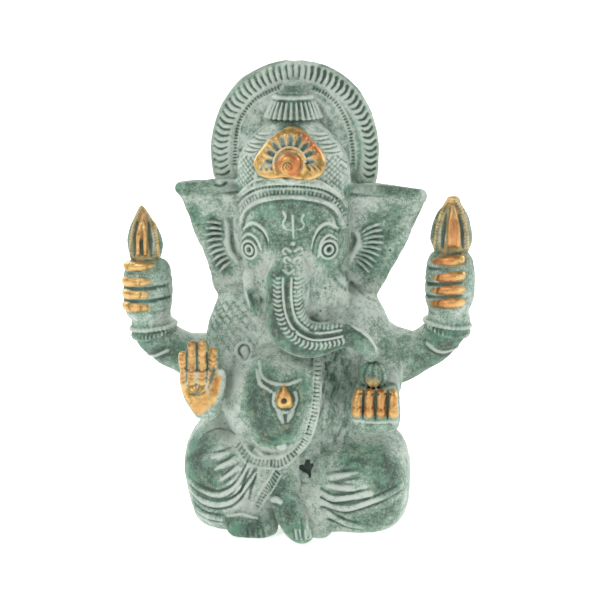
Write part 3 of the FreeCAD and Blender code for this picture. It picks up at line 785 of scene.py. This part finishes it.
def chase_bud(node, shift):
    """A gilded flame in a dark leaf with a roped edge. shift moves the flame sideways."""
    low, high, centre, half = spread(node)
    middle_x = centre[0] - AXIS_X
    base = low[2] + (high[2] - low[2]) * 0.24
    height = high[2] - base

    def place(u, v):
        """u across, from -1 to 1 at the leaf's edge, and v up."""
        width = half[0] * (1 - v ** 2.2) ** 0.75
        return ((middle_x + u * width) / SCALE, (base + v * height) / SCALE)

    tint(centre, 12, "bare", 0.7, 1)
    wash([place(shift, v) for v in np.linspace(0, 0.95, 8)], half[0] * 0.7, "gold", 0.5, 2)
    for side in (-1, 1):
        edge = [place(side * 0.8, v) for v in (0.02, 0.2, 0.4, 0.6, 0.8, 0.93)]
        ridge(edge, 0.6, 0.4, 0.85 if side * shift <= 0 else 0.55, "gold", soft=0.4)
        ticks(edge, -0.5, 0.5, 0.95, lambda p: groove(p, 0.2, 0.28, 0.5))
        hollow = [place(side * 0.5 + shift * 0.6, v) for v in (0.06, 0.3, 0.5, 0.68)]
        groove(hollow, [0.4, 0.75, 0.3], 0.6, 0.5, soft=0.5)
        flame = [place(side * 0.2 + shift, v) for v in (0.1, 0.28, 0.46)] + [place(shift * 0.5, 0.82)]
        ridge(flame, [0.6, 0.85, 0.5], 0.7, 1, "gold", soft=0.5)
        wash(flame, 0.9, "copper", 0.75, 1.2)
    wash([place(0.55, 0.2), place(0.55, 0.5)], 0.7, "pale", 0.6, 0.6)
    if node == "left_bud":
        ridge([place(shift, 0.14), place(shift, 0.4), place(shift, 0.62)], [0.9, 1.2, 0.5], 0.6, 1, "gold")
        wash([place(shift, 0.2), place(shift, 0.5)], 2, "copper", 0.8, 1.2)
    else:
        groove([place(shift, 0.08), place(shift, 0.34)], 0.5, 0.5, 0.6, soft=0.4)
    wash([place(0, 0.86), place(0, 0.98)], 1.3, "gold", 0.9, 0.6)
    for side in (-1, 1):
        wash([place(side * 0.3, 0.03)], 1.2, "gold", 0.8, 0.8)


def chase_palm():
    low, high = BOXES["lower_right_hand"]
    fingers = ((-34.2, 58.4, 52), (-31.1, 61.4, 51), (-27.7, 61.8, 51), (-24.4, 59.6, 53))
    for x, top, root in fingers:
        for z in np.linspace(top - 0.6, root - 1.5, 6):
            groove([(x - 1.3, z + 0.2), (x, z - 0.35), (x + 1.3, z + 0.2)], 0.2, 0.24, 0.6)
        points, _ = drape([(x, z) for z in np.linspace(47.5, top + 1.4, 8)])
        tint(points, 1.35, "gold", 1, 0.6)
        tint(points[2:], 0.8, "copper", 0.45, 1)
    for x, top, foot in ((-32.7, 61.5, 49.2), (-29.4, 62.5, 49.6), (-26.1, 60, 50.4)):
        groove([(x, top), (x, foot)], [0.26, 0.18], 0.5, 0.7)
    # the hollow between forefinger and thumb
    groove([(-24, 55), (-24.4, 52), (-25.6, 48.6)], [0.4, 0.5, 0.2], 0.5, 0.2, soft=0.5)
    for i in range(7):
        angle = 0.4 + i * 0.42
        a = (-29.4 + 0.6 * cos(angle), 46.0 + 0.6 * sin(angle))
        b = (-29.4 + 3.3 * cos(angle), 46.0 + 4.2 * sin(angle))
        groove([a, b], [0.3, 0.12], 0.35, 0.8)
    points, _ = drape([(-32.2, 47), (-30.5, 44.5), (-29.2, 42), (-26.8, 44.2), (-28.6, 47.5)])
    tint(points, 2.4, "gold", 1, 0.8)
    tint(points[2:4], 1.6, "copper", 0.45, 1.6)
    tint(points, 2.4, "dark", 0.15, 1)
    thumb, _ = drape([(-24.9, 44), (-23.6, 47.5), (-22.7, 51.6)])
    tint(thumb, 1.4, "gold", 1, 0.6)
    tint(thumb[1:], 0.8, "copper", 0.6, 1)
    tint([[(low[0] + high[0]) / 2, high[1] + 1, z] for z in (low[2], high[2])], 5, "bare", 1)


def chase_lower_left_fist():
    for i in range(4):
        x = 21.9 + i * 3.85
        points, normals = drape([(x, z) for z in np.linspace(42.6, 48.8, 7)])
        tint(points, 1.35, "gold", 1, 0.5)
        stroke("raise", points - normals * 1.15, [1.75, 1.4, 1.5, 1.7], paint="gold", shade=1)
        tint(points[1:] - normals[1:], 1.8, "copper", 0.85 if i in (1, 2) else 0.5, 1.6)
        tint(points[1:] - normals[1:], 1.8, "dark", 0.25, 1)
        ridge([(x - 0.9, 49), (x - 0.9, 44.2)], 0.35, 0.25, 1, "gold")
        groove([(x - 1.2, 48.6), (x, 47.9), (x + 1.2, 48.6)], 0.28, 0.4, 0.9)
        groove([(x - 1.2, 44.4), (x, 43.8), (x + 1.2, 44.4)], 0.22, 0.3, 0.7)
        if i:
            groove([(x - 1.95, 49.6), (x - 1.95, 40.4)], [0.3, 0.45, 0.25], 0.8, 0.7, soft=0.4)
    ridge([(20.2, 40), (27.4, 39.4), (34.8, 40)], 0.4, 0.3, 0.5)
    low, centre = BOXES["sweet"][0], middle("sweet")
    rings = 4
    for i in range(rings):
        angle = pi * i / rings
        loop = np.array([[cos(a) * 4.5 * cos(angle), -abs(cos(a) * 4.4 * sin(angle)),
                          sin(a) * 4.4] for a in np.linspace(0, 2 * pi, 30)])
        stroke("cut", centre + loop, 0.36, soft=0.6)
    tint(centre, 6, "bare", 0.8, 1)
    tint([centre[0], low[1], low[2] + 0.8], 2.6, "gold", 0.8, 1.6)


def chase_arms():
    # scales on the upper part of the lower right arm, with a round boss
    for row in range(8):
        for column in range(5):
            x = -26.6 + column * 3.0 + (row % 2) * 1.5 + row * 0.35
            z = 72.5 - row * 2.0
            groove([(x - 1.3, z + 0.6), (x, z - 0.7), (x + 1.3, z + 0.6)], 0.3, 0.16, 0, soft=0.5)
    boss = (-15.6, 57.8)
    ridge(ellipse_path(boss, 2.6, 2.6), 0.55, 0.5, 0.7)
    ridge(ellipse_path(boss, 0.9, 0.9), 0.5, 0.5, 0.7)
    groove(ellipse_path(boss, 1.8, 1.8), 0.35, 0.3, 0.2)
    for name in ("upper_right_bracelet", "upper_left_bracelet"):
        _, _, centre, half = spread(name)
        slope = 0.9 if name == "upper_left_bracelet" else -0.9
        count = 34
        for i in range(count):
            angle = 2 * pi * i / count
            place = centre + outward(angle) * half * 0.97
            place[2] = centre[2] - slope * cos(angle)
            stroke("cut", [place + [0, 0, -1.6], place + [0, 0, 0.4]], 0.36, paint="dark", shade=0.8)
            stroke("raise", place + [0, 0, 1.1], 0.75, paint="pale", shade=0.55)
    ridge([(43, 60.4), (47.6, 57.6), (55.2, 59)], 0.55, 0.45, 0.8)
    groove([(42.6, 58.8), (47.6, 56.2), (54.4, 57.2)], 0.4, 0.4, 0.5)
    ridge([(-53, 55), (-47, 54), (-41.2, 56.4)], 0.55, 0.45, 0.8)
    groove([(-52.2, 53.4), (-47, 52.6), (-41, 54.8)], 0.4, 0.4, 0.5)


def rub_raised_areas():
    """Where handling and polishing have taken the pale wash off."""
    def area(path, radius, shade=1, soft=3, side=-1):
        tint(drape(smooth_path(path, radius * 0.5), side)[0], radius, "bare", shade, soft)

    area([(-7, 103), (0, 105), (8, 103.5)], 5, 0.9)
    area([(-6, 96), (0, 95), (6, 97)], 5, 0.75)
    area([(-3, 84), (-3.2, 76), (-1.6, 69), (4, 65.5), (12, 65), (20, 66.5)], 5.2, 1.35)
    area([(26, 63), (27, 60)], 2.5, 0.8)
    area([(-8, 50), (-8, 42), (-5, 34), (0, 42), (2, 48)], 5.6, 1.2)
    area([(-31, 27), (-32, 20), (-27, 18)], 5.5, 1.15)
    area([(-30, 7.5), (-24, 7)], 2.5, 0.7)
    area([(22, 25), (30, 22), (32, 18)], 6, 1)
    area([(18, 6), (26, 5), (33, 7)], 4, 1)
    area([(-19, 3), (-12, 3)], 4, 1.35)
    area([(-2, 18), (-0.5, 10), (4.4, 4)], 3.8, 1)
    area([(30, 60), (36, 56)], 4, 0.5)
    area([(-26, 66), (-24, 60)], 4, 0.5)
    area([(-12.4, 79), (-11.4, 75), (-10.6, 71)], 1.4, 0.8, 1)
    area([(14, 84), (17, 90)], 3, 0.45)
    for node, reach in (("upper_right_hand", 8), ("upper_left_hand", 8), ("lower_left_hand", 8.5),
                        ("right_bud", 6), ("left_bud", 6.5)):
        tint(middle(node), reach, "bare", 0.85, 4)
    tint([[-50, 0, 59], [-43, 1, 54], [-35, 2, 51]], 6, "bare", 0.9, 4)
    for channel, shade in (("bare", 1.15), ("dark", 0.3)):
        tint([[50, 2, 62], [44, 4, 54], [36, 7, 49]], 6, channel, shade, 4)
        wash([(26, 100), (32, 102), (28, 90), (24, 82)], 3, channel, shade * 0.7, 3)
    area([(6, 20), (12, 30), (14, 40)], 3, 0.4)
    tint([[0, FIGURE_HIGH[1], 20], [0, FIGURE_HIGH[1], 45]], 14, "bare", 0.6, 9)


for chase in (chase_halo, chase_crown, chase_crown_top, chase_fan, chase_face, chase_trunk, chase_ears,
              chase_belly, chase_legs, chase_back, chase_pits, chase_feet, chase_palm,
              chase_lower_left_fist, chase_arms):
    chase()
chase_fist("upper_right_hand", (pi * 0.88, pi * 0.36), 0.7)
chase_fist("upper_left_hand", (pi * 0.34, pi * 0.84), -1.2)
chase_bud("right_bud", -0.08)
chase_bud("left_bud", 0.12)
rub_raised_areas()


# From strokes to pieces

def reach_of(s):
    return s["radii"].max() * (2.4 if s["kind"] == "swell" else 1.0) + 0.8 + s["soft"]


def gap_to(points_grid, s, i):
    """Distance from grid points to segment i of a stroke, and the stroke's radius there."""
    path, radii = s["points"], s["radii"]
    a, ra = path[i], radii[i]
    if len(path) == 1:
        x, y, z = (g - c for g, c in zip(points_grid, a))
        return np.sqrt(x * x + y * y + z * z), ra
    b, rb = path[i + 1], radii[i + 1]
    d = b - a
    length = max(float(d @ d), 1e-9)
    x, y, z = (g - c for g, c in zip(points_grid, a))
    t = np.clip((x * d[0] + y * d[1] + z * d[2]) / length, 0, 1)
    x, y, z = x - t * d[0], y - t * d[1], z - t * d[2]
    return np.sqrt(x * x + y * y + z * z), ra + (rb - ra) * t


def carve(block, s):
    """Applies one stroke to a block."""
    if s["kind"] == "tint":
        return
    reach = reach_of(s)
    outer = block.window(s["points"].min(0) - reach, s["points"].max(0) + reach)
    if outer is None:
        return
    is_swell = s["kind"] == "swell"
    gap = np.full([c.stop - c.start for c in outer], FAR, np.float32)
    axes = [block.axis(k)[outer[k]] for k in range(3)]
    for i in range(max(1, len(s["points"]) - 1)):
        ends = s["points"][i:i + 2]
        low, high = ends.min(0) - reach, ends.max(0) + reach
        cut = tuple(slice(*np.searchsorted(axes[k], (low[k], high[k]))) for k in range(3))
        if any(c.start == c.stop for c in cut):
            continue
        grid = np.ix_(*(axes[k][cut[k]] for k in range(3)))
        distance, radius = gap_to(grid, s, i)
        near = distance / radius if is_swell else distance - radius
        np.minimum(gap[cut], near, out=gap[cut])
    values = block.values[outer]
    if is_swell:
        values -= s["amount"] * np.exp(-gap * gap)
    elif s["kind"] == "raise":
        values[...] = lesser(values, gap, s["soft"])
    else:
        values[...] = -lesser(-values, gap, s["soft"])


def painted(points, channel):
    """How strongly a channel of paint covers each point, from 0 to 1."""
    cover = np.zeros(len(points))
    low, high = points.min(0), points.max(0)
    order = np.argsort(points[:, 2])
    heights = points[order, 2]
    for s in STROKES:
        if s["paint"] != channel:
            continue
        is_tint = s["kind"] == "tint"
        fade = s["soft"] if is_tint else LINE_FADE
        reach = s["radii"].max() + fade
        s_low, s_high = s["points"].min(0) - reach, s["points"].max(0) + reach
        if (s_low > high).any() or (s_high < low).any():
            continue
        start, stop = np.searchsorted(heights, (s_low[2], s_high[2]))
        near = order[start:stop]
        near = near[((points[near] > s_low) & (points[near] < s_high)).all(1)]
        if not len(near):
            continue
        gap = np.full(len(near), FAR)
        for i in range(max(1, len(s["points"]) - 1)):
            distance, radius = gap_to(points[near].T, s, i)
            np.minimum(gap, distance - radius, out=gap)
        start = 0.5 if is_tint else 1.0
        fall = 2 * fade if is_tint else fade
        cover[near] = np.maximum(cover[near], s["shade"] * np.clip(start - gap / fall, 0, 1))
    return cover


def casting_noise(seed, pitch):
    """A low, soft unevenness over the whole figure."""
    rng = np.random.default_rng(seed)
    cells = Block(FIGURE_LOW - 5, FIGURE_HIGH + 5, pitch)
    cells.values = blurred(rng.normal(size=cells.values.shape).astype(np.float32), 0.7)
    cells.values /= cells.values.std()
    return cells


UNEVEN = casting_noise(7, 2.6)
ROUGH = casting_noise(8, 1.1)
SOLIDITY = Block(FIGURE_LOW - 3, FIGURE_HIGH + 3, COARSE)
SOLIDITY.values = blurred((FORM.values < 0).astype(np.float32), 2.6 / COARSE)


def region_of(name):
    """Below 0 where the named node is the nearest one."""
    own = NODES[name]
    others = Block(own.first * COARSE, own.first * COARSE, COARSE)
    others.first = own.first
    others.values = np.full(own.values.shape, BAND, np.float32)
    for other, block in NODES.items():
        if other != name:
            paste_least(others, block)
    others.values = (own.values - others.values) / 2
    return others


def sculpt(name):
    """The named node as a closed mesh, with its paint masks."""
    step = PLAIN if name in COARSER else FINE
    low, high = BOXES[name][0] - MARGIN, BOXES[name][1] + MARGIN
    low[2] = max(low[2], -1.2)
    block = refined(FORM, low, high, step)
    region = refined(region_of(name), low, high, step).values
    block.values += UNEVEN_HEIGHT * refined(UNEVEN, low, high, step).values
    block.values += ROUGH_HEIGHT * refined(ROUGH, low, high, step).values
    for s in STROKES:
        carve(block, s)
    block.values = blurred(block.values, SMOOTHING)
    sunk = block.values + SKIRT_SLOPE * np.clip(region, 0, None)
    field = np.maximum(sunk, region - SKIRT)
    grid = openvdb.FloatGrid()
    grid.copyFromArray(field.astype(np.float32), ijk=tuple(int(i) for i in block.first))
    grid.transform = openvdb.createLinearTransform(step)
    points, quads = grid.convertToQuads(isovalue=0.0)
    points = points.astype(float)
    fine_ridge = Block(low, high, step)
    fine_ridge.values = blurred(block.values, 0.55 / step)
    masks = {channel: painted(points, channel) for channel in ("gold", "copper", "pale", "dark", "bare")}
    masks["edge"] = np.clip(0.5 + 2.2 * fine_ridge.sample(points), 0, 1)
    masks["cavity"] = np.clip(0.5 + 2.4 * (SOLIDITY.sample(points) - 0.5), 0, 1)
    return points, quads[:, ::-1], masks


def placed(name, data):
    """A new object in the scene."""
    made = bpy.data.objects.new(name, data)
    bpy.context.scene.collection.objects.link(made)
    return made


def look_along(thing, direction):
    """Turns a lamp or a camera so that it looks along a direction."""
    thing.rotation_mode = "QUATERNION"
    thing.rotation_quaternion = direction.to_track_quat("-Z", "Y")


def make_piece(name):
    points, quads, masks = sculpt(name)
    mesh = bpy.data.meshes.new(name + "_casting")
    mesh.from_pydata((points * MM).tolist(), [], quads.tolist())
    mesh.polygons.foreach_set("use_smooth", np.ones(len(mesh.polygons), bool))
    for channel, values in masks.items():
        mesh.attributes.new(channel, "FLOAT", "POINT").data.foreach_set("value", values.astype(np.float32))
    mesh.update()
    return placed(name + "_casting", mesh)


# Materials

class Socket:
    """A shader output that can be added, subtracted and multiplied."""

    def __init__(self, tree, output):
        self.tree = tree
        self.output = output

    def math(self, operation, a, b, clamp=False):
        made = self.tree.nodes.new("ShaderNodeMath")
        made.operation = operation
        made.use_clamp = clamp
        plug(made.inputs[0], a)
        plug(made.inputs[1], b)
        return Socket(self.tree, made.outputs[0])

    def __add__(self, other):
        return self.math("ADD", self, other)

    def __sub__(self, other):
        return self.math("SUBTRACT", self, other)

    def __rsub__(self, other):
        return self.math("SUBTRACT", other, self)

    def __mul__(self, other):
        return self.math("MULTIPLY", self, other)

    def step(self, low, high):
        """0 below low, 1 above high, smooth between."""
        made = self.tree.nodes.new("ShaderNodeMapRange")
        made.interpolation_type = "SMOOTHSTEP"
        made.inputs["From Min"].default_value = low
        made.inputs["From Max"].default_value = high
        plug(made.inputs["Value"], self)
        return Socket(self.tree, made.outputs["Result"])


def plug(target, value):
    """Sets a shader input to a number, to a colour, or to what a Socket gives."""
    if isinstance(value, Socket):
        value.tree.links.new(value.output, target)
    elif isinstance(value, tuple):
        target.default_value = (*value, 1.0)
    else:
        target.default_value = value


def mixed(share, a, b):
    made = share.tree.nodes.new("ShaderNodeMix")
    made.data_type = "RGBA"
    plug(made.inputs["Factor"], share)
    plug(made.inputs[6], a)
    plug(made.inputs[7], b)
    return Socket(share.tree, made.outputs[2])


# Patina from the deepest green to the pale wash, by how much wash is left and by painted highlight and
# shade
PATINA_TONES = ((0.0, (0.040, 0.072, 0.055)), (0.22, (0.075, 0.130, 0.092)), (0.44, (0.135, 0.225, 0.162)),
                (0.66, (0.260, 0.345, 0.280)), (0.88, (0.420, 0.490, 0.425)), (1.0, (0.490, 0.555, 0.485)))
GREEN_BRIGHT = (0.10, 0.30, 0.19)
OLIVE = (0.27, 0.29, 0.17)
ROSE_GREY = (0.36, 0.34, 0.32)
# DEEP and DEEP_BROWN: dark patina and painted shade in creases, grooves and gaps; DEEP also colours pits
DEEP = (0.045, 0.070, 0.055)
DEEP_BROWN = (0.085, 0.065, 0.030)
PALE_LINE = (0.50, 0.565, 0.49)
GOLD = (0.48, 0.295, 0.085)
GOLD_HIGHLIGHT = (0.67, 0.445, 0.17)
GOLD_DULL = (0.30, 0.19, 0.06)
COPPER = (0.50, 0.17, 0.055)


def patina_tone(value):
    made = value.tree.nodes.new("ShaderNodeValToRGB")
    ramp = made.color_ramp
    while len(ramp.elements) < len(PATINA_TONES):
        ramp.elements.new(0.5)
    for element, (place, colour) in zip(ramp.elements, PATINA_TONES):
        element.position = place
        element.color = (*colour, 1.0)
    plug(made.inputs["Fac"], value)
    return Socket(value.tree, made.outputs["Color"])


def brass(name, all_gold):
    """Verdigris under a rubbed pale wash, with brass showing where it has been polished."""
    material = bpy.data.materials.new(name)
    material.use_nodes = True
    tree = material.node_tree
    shader = tree.nodes["Principled BSDF"]
    place = Socket(tree, tree.nodes.new("ShaderNodeTexCoord").outputs["Object"])

    def mask(channel):
        made = tree.nodes.new("ShaderNodeAttribute")
        made.attribute_name = channel
        return Socket(tree, made.outputs["Fac"])

    def noise(scale, detail=4.0, roughness=0.6):
        made = tree.nodes.new("ShaderNodeTexNoise")
        made.inputs["Scale"].default_value = scale
        made.inputs["Detail"].default_value = detail
        made.inputs["Roughness"].default_value = roughness
        plug(made.inputs["Vector"], place)
        return Socket(tree, made.outputs["Fac"])

    def grain(scale, weight, detail=4.0, roughness=0.6):
        """Noise about zero, times a weight."""
        return (noise(scale, detail, roughness) - 0.5) * weight

    bare, pale, gold, copper = (mask(channel) for channel in ("bare", "pale", "gold", "copper"))
    raised = mask("edge") - 0.5
    recessed = mask("cavity") - 0.5

    # how much of the pale wash is left, plus a painted highlight on ridges and painted shade in grooves
    tone = bare * -0.50 + recessed * 0.35 + raised * 0.85 + grain(75.0, 0.8, 2.0) + grain(260.0, 1.1)
    tone = tone + grain(900.0, 1.2, 3.0, 0.7) + grain(2300.0, 1.0, 2.0, 0.7) + 0.80
    colour = patina_tone(tone)
    green = noise(130.0, 3.0).step(0.50, 0.64) * 0.6
    colour = mixed(green.math("MULTIPLY", green, 1.0 - tone, clamp=True), colour, GREEN_BRIGHT)
    colour = mixed(noise(420.0, 4.0, 0.8).step(0.54, 0.64) * 0.45 * bare, colour, OLIVE)
    colour = mixed(noise(110.0, 5.0, 0.7).step(0.54, 0.66) * 0.4 * tone.step(0.45, 0.8), colour, ROSE_GREY)

    # painted shade: concave creases are darkened towards the deep green, partly dark patina and partly
    # shade
    crease_patina_and_shade = (raised * -1.0).step(0.10, 0.42) * 0.6
    pits = noise(800.0, 2.0, 0.8).step(0.67, 0.73) * 0.6
    colour = mixed(pits.math("MAXIMUM", crease_patina_and_shade, pits), colour, DEEP)
    wear = noise(520.0, 4.0, 0.75)
    colour = mixed(pale * ((wear + raised).step(0.38, 0.66) * 0.85), colour, PALE_LINE)
    # dark paint: dark patina in grooves and gaps, laid darker as painted shade
    dark = mask("dark") * (wear - raised).step(0.34, 0.72)
    colour = mixed(dark * 0.66, colour, DEEP)

    # brass, where the patina has been rubbed through
    metal = gold.math("ADD", gold, 1.0 if all_gold else 0.0, clamp=True) * (1.0 - pale)
    metal = metal * (wear + raised).step(0.22, 0.42)
    # painted highlight: sheen noise, lifted on ridges, turns the brass to a lighter gold
    sheen = noise(330.0, 4.0, 0.7)
    polished = mixed((sheen + raised * 0.5).step(0.42, 0.68), GOLD, GOLD_HIGHLIGHT)
    polished = mixed((1.0 - sheen).step(0.52, 0.66), polished, GOLD_DULL)
    polished = mixed(copper * noise(240.0, 3.0).step(0.26, 0.50), polished, COPPER)
    # the same dark paint, patina and painted shade, on the brass
    polished = mixed(dark, polished, DEEP_BROWN)
    plug(shader.inputs["Base Color"], mixed(metal, colour, polished))
    plug(shader.inputs["Metallic"], metal * 0.7)
    plug(shader.inputs["Roughness"], metal * -0.26 + 0.60 + grain(900.0, 0.35))
    bump = tree.nodes.new("ShaderNodeBump")
    bump.inputs["Strength"].default_value = 0.5
    bump.inputs["Distance"].default_value = 0.0003
    plug(bump.inputs["Height"], grain(1500.0, 1.0, 3.0, 0.7) + grain(600.0, 1.2) + pits * -1.0)
    tree.links.new(bump.outputs["Normal"], shader.inputs["Normal"])
    return material


PATINA = brass("patinated_brass", False)
POLISHED = brass("polished_brass", True)

for name in sorted(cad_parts):
    piece = make_piece(name)
    piece.data.materials.append(POLISHED if name in GILDED else PATINA)
    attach(piece, "root")
    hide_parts(name)


# Stage

def make_floor():
    mesh = bpy.data.meshes.new("floor")
    half, back, rise, bend = 3.0, 0.9, 2.0, 0.35
    curve = [(back - bend + bend * sin(a), bend - bend * cos(a)) for a in np.linspace(0, pi / 2, 12)]
    rows = [(-4.0, 0.0), *curve, (back, rise)]
    points = [(x, y, z - 0.0001) for y, z in rows for x in (-half, half)]
    faces = [(2 * i, 2 * i + 1, 2 * i + 3, 2 * i + 2) for i in range(len(rows) - 1)]
    mesh.from_pydata(points, [], faces)
    mesh.polygons.foreach_set("use_smooth", [True] * len(faces))
    floor = placed("floor", mesh)
    material = bpy.data.materials.new("floor")
    material.use_nodes = True
    shader = material.node_tree.nodes["Principled BSDF"]
    shader.inputs["Base Color"].default_value = (0.93, 0.93, 0.93, 1)
    shader.inputs["Roughness"].default_value = 0.9
    shader.inputs["Emission Color"].default_value = (1, 1, 1, 1)
    shader.inputs["Emission Strength"].default_value = 0.62
    mesh.materials.append(material)


def make_light(name, place, aim, size, power):
    light = bpy.data.lights.new(name, "AREA")
    light.size = size
    light.energy = power
    lamp = placed(name, light)
    lamp.location = place
    look_along(lamp, Vector(aim) - Vector(place))


def make_camera():
    """The photograph's view: 12 degrees above the horizon and 5 to the right, from 0.7 m."""
    azimuth, elevation, distance = math.radians(5), math.radians(12), 0.7
    right = Vector((cos(azimuth), sin(azimuth), 0))
    forward = Vector((-sin(azimuth) * cos(elevation), cos(azimuth) * cos(elevation), -sin(elevation)))
    up = right.cross(forward)
    centre = (cad_box[0] + cad_box[1]) / 2
    aim = centre + right * 0.0009 - up * 0.0012
    data = bpy.data.cameras.new("camera")
    data.sensor_width = 36
    data.lens = 130.1
    camera = placed("camera", data)
    camera.location = aim - forward * distance
    look_along(camera, forward)
    bpy.context.scene.camera = camera


def make_stage():
    make_floor()
    top = Vector((0, 0, 0.075))
    make_light("key", (-0.45, -0.75, 0.8), top, 0.4, 4.6)
    make_light("fill", (0.75, -0.6, 0.35), top, 0.5, 1.6)
    make_light("back_left", (-0.6, 0.35, 0.5), top, 0.3, 1.8)
    make_light("back_right", (0.6, 0.35, 0.45), top, 0.3, 1.8)
    world = bpy.data.worlds.new("studio")
    world.use_nodes = True
    sky = world.node_tree.nodes["Background"]
    sky.inputs["Color"].default_value = (1, 1, 1, 1)
    sky.inputs["Strength"].default_value = 0.38
    bpy.context.scene.world = world
    bpy.context.scene.view_settings.view_transform = "Standard"


make_stage()
make_camera()
